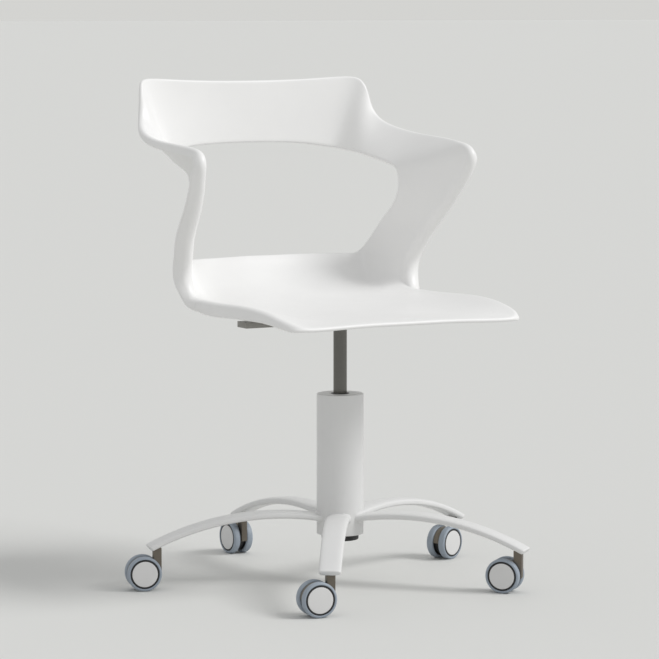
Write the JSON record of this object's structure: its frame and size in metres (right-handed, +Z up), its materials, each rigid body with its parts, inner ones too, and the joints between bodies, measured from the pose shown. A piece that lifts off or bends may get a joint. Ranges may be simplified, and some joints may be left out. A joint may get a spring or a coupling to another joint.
{
  "type": "swivel chair",
  "caption": "Height-adjustable swivel chair with a one-piece moulded shell that forms seat, back and armrests, on a five-arm base with twin-wheel castors.",
  "frame": {"origin": "centre of the footprint on the floor", "axes": "+Z up, the sitter faces -Y, +X is the sitter's left"},
  "size_m": [0.6466, 0.6304, 0.8102],
  "materials": {
    "shell": "white moulded plastic, satin",
    "white_paint": "white powder coat, satin",
    "black_plastic": "black, satin",
    "dark_metal": "dark grey, semi-gloss",
    "steel": "bright zinc",
    "castor_metal": "warm grey cast metal, satin",
    "wheel_plastic": "light grey discs, satin",
    "tyre": "blue-grey soft tread"
  },
  "bodies": {
    "base": {"column_tube": "white_paint", "guide_bush": "black_plastic", "foot_cap": "black_plastic", "front_right_arm": "white_paint", "front_left_arm": "white_paint", "rear_left_arm": "white_paint", "rear_arm": "white_paint", "rear_right_arm": "white_paint"},
    "spindle": {"piston_rod": "steel", "piston": "black_plastic", "thrust_bearing": "steel", "retaining_clip": "steel"},
    "seat": {"seat_shell": "shell", "seat_plate": "dark_metal", "taper_socket": "dark_metal", "seat_screw_1": "steel", "seat_screw_2": "steel", "seat_screw_3": "steel", "seat_screw_4": "steel", "lever_pin": "steel", "pressure_tube": "dark_metal"},
    "lever": {"release_lever": "dark_metal"},
    "release": {"release_pin": "steel"},
    "front_right_castor": {"front_right_castor_fork": "castor_metal", "front_right_castor_pin": "steel", "front_right_castor_axle": "steel"},
    "front_right_wheel_a": {"front_right_wheel_a": "wheel_plastic", "front_right_tyre_a": "tyre"},
    "front_right_wheel_b": {"front_right_wheel_b": "wheel_plastic", "front_right_tyre_b": "tyre"},
    "front_left_castor": {"front_left_castor_fork": "castor_metal", "front_left_castor_pin": "steel", "front_left_castor_axle": "steel"},
    "front_left_wheel_a": {"front_left_wheel_a": "wheel_plastic", "front_left_tyre_a": "tyre"},
    "front_left_wheel_b": {"front_left_wheel_b": "wheel_plastic", "front_left_tyre_b": "tyre"},
    "rear_left_castor": {"rear_left_castor_fork": "castor_metal", "rear_left_castor_pin": "steel", "rear_left_castor_axle": "steel"},
    "rear_left_wheel_a": {"rear_left_wheel_a": "wheel_plastic", "rear_left_tyre_a": "tyre"},
    "rear_left_wheel_b": {"rear_left_wheel_b": "wheel_plastic", "rear_left_tyre_b": "tyre"},
    "rear_castor": {"rear_castor_fork": "castor_metal", "rear_castor_pin": "steel", "rear_castor_axle": "steel"},
    "rear_wheel_a": {"rear_wheel_a": "wheel_plastic", "rear_tyre_a": "tyre"},
    "rear_wheel_b": {"rear_wheel_b": "wheel_plastic", "rear_tyre_b": "tyre"},
    "rear_right_castor": {"rear_right_castor_fork": "castor_metal", "rear_right_castor_pin": "steel", "rear_right_castor_axle": "steel"},
    "rear_right_wheel_a": {"rear_right_wheel_a": "wheel_plastic", "rear_right_tyre_a": "tyre"},
    "rear_right_wheel_b": {"rear_right_wheel_b": "wheel_plastic", "rear_right_tyre_b": "tyre"}
  },
  "joints": [
    {"name": "seat_swivel", "type": "hinge", "parent": "base", "child": "spindle", "pos_m": [0.0235, -0.0382, 0.085], "axis": [0, 0, 1], "continuous": true},
    {"name": "seat_lift", "type": "slide", "parent": "spindle", "child": "seat", "axis": [0, 0, 1], "range_m": [-0.06, 0.06]},
    {"name": "lever_pull", "type": "hinge", "parent": "seat", "child": "lever", "pos_m": [-0.0115, -0.0382, 0.42363], "axis": [0, 1, 0], "range_deg": [0, 4]},
    {"name": "release_press", "type": "slide", "parent": "seat", "child": "release", "axis": [0, 0, -1], "range_m": [0, 0.0025]},
    {"name": "front_right_swivel", "type": "hinge", "parent": "base", "child": "front_right_castor", "pos_m": [-0.13733, -0.29558, 0.0684], "axis": [0, 0, 1], "continuous": true},
    {"name": "front_right_roll_a", "type": "hinge", "parent": "front_right_castor", "child": "front_right_wheel_a", "pos_m": [-0.15939, -0.29229, 0.02775], "axis": [-0.1478, -0.989, 0], "continuous": true},
    {"name": "front_right_roll_b", "type": "hinge", "parent": "front_right_castor", "child": "front_right_wheel_b", "pos_m": [-0.15939, -0.29229, 0.02775], "axis": [-0.1478, -0.989, 0], "continuous": true},
    {"name": "front_left_swivel", "type": "hinge", "parent": "base", "child": "front_left_castor", "pos_m": [0.21859, -0.27069, 0.0684], "axis": [0, 0, 1], "continuous": true},
    {"name": "front_left_roll_a", "type": "hinge", "parent": "front_left_castor", "child": "front_left_wheel_a", "pos_m": [0.20393, -0.25389, 0.02775], "axis": [-0.7536, -0.6574, 0], "continuous": true},
    {"name": "front_left_roll_b", "type": "hinge", "parent": "front_left_castor", "child": "front_left_wheel_b", "pos_m": [0.20393, -0.25389, 0.02775], "axis": [-0.7536, -0.6574, 0], "continuous": true},
    {"name": "rear_left_swivel", "type": "hinge", "parent": "base", "child": "rear_left_castor", "pos_m": [0.3049, 0.07549, 0.0684], "axis": [0, 0, 1], "continuous": true},
    {"name": "rear_left_roll_a", "type": "hinge", "parent": "rear_left_castor", "child": "rear_left_wheel_a", "pos_m": [0.28434, 0.06685, 0.02775], "axis": [0.3875, -0.9219, 0], "continuous": true},
    {"name": "rear_left_roll_b", "type": "hinge", "parent": "rear_left_castor", "child": "rear_left_wheel_b", "pos_m": [0.28434, 0.06685, 0.02775], "axis": [0.3875, -0.9219, 0], "continuous": true},
    {"name": "rear_swivel", "type": "hinge", "parent": "base", "child": "rear_castor", "pos_m": [0.00233, 0.26456, 0.0684], "axis": [0, 0, 1], "continuous": true},
    {"name": "rear_roll_a", "type": "hinge", "parent": "rear_castor", "child": "rear_wheel_a", "pos_m": [0.00136, 0.28684, 0.02775], "axis": [-0.999, -0.0436, 0], "continuous": true},
    {"name": "rear_roll_b", "type": "hinge", "parent": "rear_castor", "child": "rear_wheel_b", "pos_m": [0.00136, 0.28684, 0.02775], "axis": [-0.999, -0.0436, 0], "continuous": true},
    {"name": "rear_right_swivel", "type": "hinge", "parent": "base", "child": "rear_right_castor", "pos_m": [-0.27098, 0.03522, 0.0684], "axis": [0, 0, 1], "continuous": true},
    {"name": "rear_right_roll_a", "type": "hinge", "parent": "rear_right_castor", "child": "rear_right_wheel_a", "pos_m": [-0.2924, 0.04145, 0.02775], "axis": [-0.279, -0.9603, 0], "continuous": true},
    {"name": "rear_right_roll_b", "type": "hinge", "parent": "rear_right_castor", "child": "rear_right_wheel_b", "pos_m": [-0.2924, 0.04145, 0.02775], "axis": [-0.279, -0.9603, 0], "continuous": true}
  ],
  "couplings": [
    {"joint": "release_press", "follows": "lever_pull", "m_per_rad": 0.035}
  ]
}
